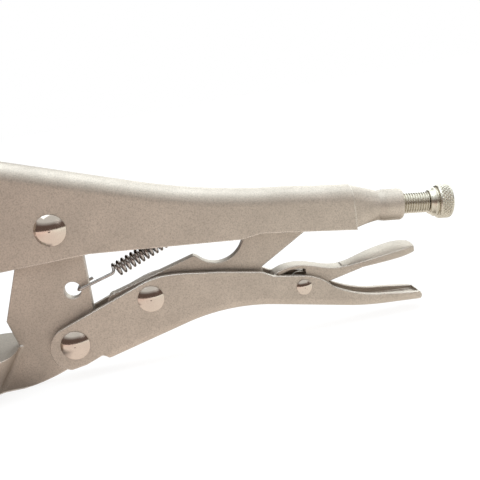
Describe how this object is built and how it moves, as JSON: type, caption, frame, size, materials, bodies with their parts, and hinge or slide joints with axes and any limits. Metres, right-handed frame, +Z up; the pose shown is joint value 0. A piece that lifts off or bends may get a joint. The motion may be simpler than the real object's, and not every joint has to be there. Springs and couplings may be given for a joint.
{
  "type": "locking pliers",
  "caption": "Locking pliers with forked clamp jaws, a toggle-linked lower handle, a release lever and a knurled adjusting screw.",
  "frame": {"origin": "on the floor, below the middle of the overall length and width, with the tool locked and the flat back of its moving jaw on the floor", "axes": "+X from the jaws to the adjusting knob, +Z up, the tool's mid plane at y = 0"},
  "size_m": [0.225, 0.04, 0.0904],
  "materials": {
    "satin_nickel": "satin nickel plating with a fine blasted grain",
    "polished_nickel": "bright",
    "bright_steel": "machined",
    "spring_steel": "dark wire"
  },
  "bodies": {
    "upper_handle": {"upper_handle": "satin_nickel", "fixed_jaw": "satin_nickel", "main_pivot_rivet": "polished_nickel", "spring_anchor_bar": "spring_steel", "return_spring": "spring_steel"},
    "lower_jaw": {"lower_jaw": "satin_nickel"},
    "lower_handle": {"lower_handle": "satin_nickel", "handle_pivot_rivet": "polished_nickel", "toggle_rivet": "polished_nickel", "lever_rivet": "polished_nickel"},
    "toggle_link": {"toggle_link": "satin_nickel"},
    "release_lever": {"release_lever": "satin_nickel"},
    "adjusting_screw": {"adjusting_screw": "bright_steel"},
    "adjusting_knob": {"adjusting_knob": "bright_steel"}
  },
  "joints": [
    {"name": "jaw_pivot", "type": "hinge", "parent": "upper_handle", "child": "lower_jaw", "pos_m": [-0.04054, 0, 0.059], "axis": [0, -1, 0], "range_deg": [0, 15], "deforming": ["return_spring"]},
    {"name": "handle_pivot", "type": "hinge", "parent": "lower_jaw", "child": "lower_handle", "pos_m": [-0.04104, 0, 0.0142], "axis": [0, 1, 0], "range_deg": [0, 56.5]},
    {"name": "toggle_pivot", "type": "hinge", "parent": "lower_handle", "child": "toggle_link", "pos_m": [-0.00974, 0, 0.0262], "axis": [0, -1, 0], "range_deg": [0, 62.5]},
    {"name": "lever_pivot", "type": "hinge", "parent": "lower_handle", "child": "release_lever", "pos_m": [0.04856, 0, 0.0188], "axis": [0, 1, 0], "range_deg": [0, 12]},
    {"name": "screw_travel", "type": "slide", "parent": "upper_handle", "child": "adjusting_screw", "axis": [0.9921, 0, -0.1253], "range_m": [0, 0.012]},
    {"name": "knob_turn", "type": "hinge", "parent": "adjusting_screw", "child": "adjusting_knob", "pos_m": [0.10828, 0, 0.0402], "axis": [0.9921, 0, -0.1253], "range_deg": [0, 4321]}
  ],
  "couplings": [
    {"joint": "jaw_pivot", "follows": "handle_pivot", "ratio": 0.26544},
    {"joint": "toggle_pivot", "follows": "handle_pivot", "ratio": 1.1048},
    {"joint": "knob_turn", "follows": "screw_travel", "rad_per_m": 6283.2}
  ]
}
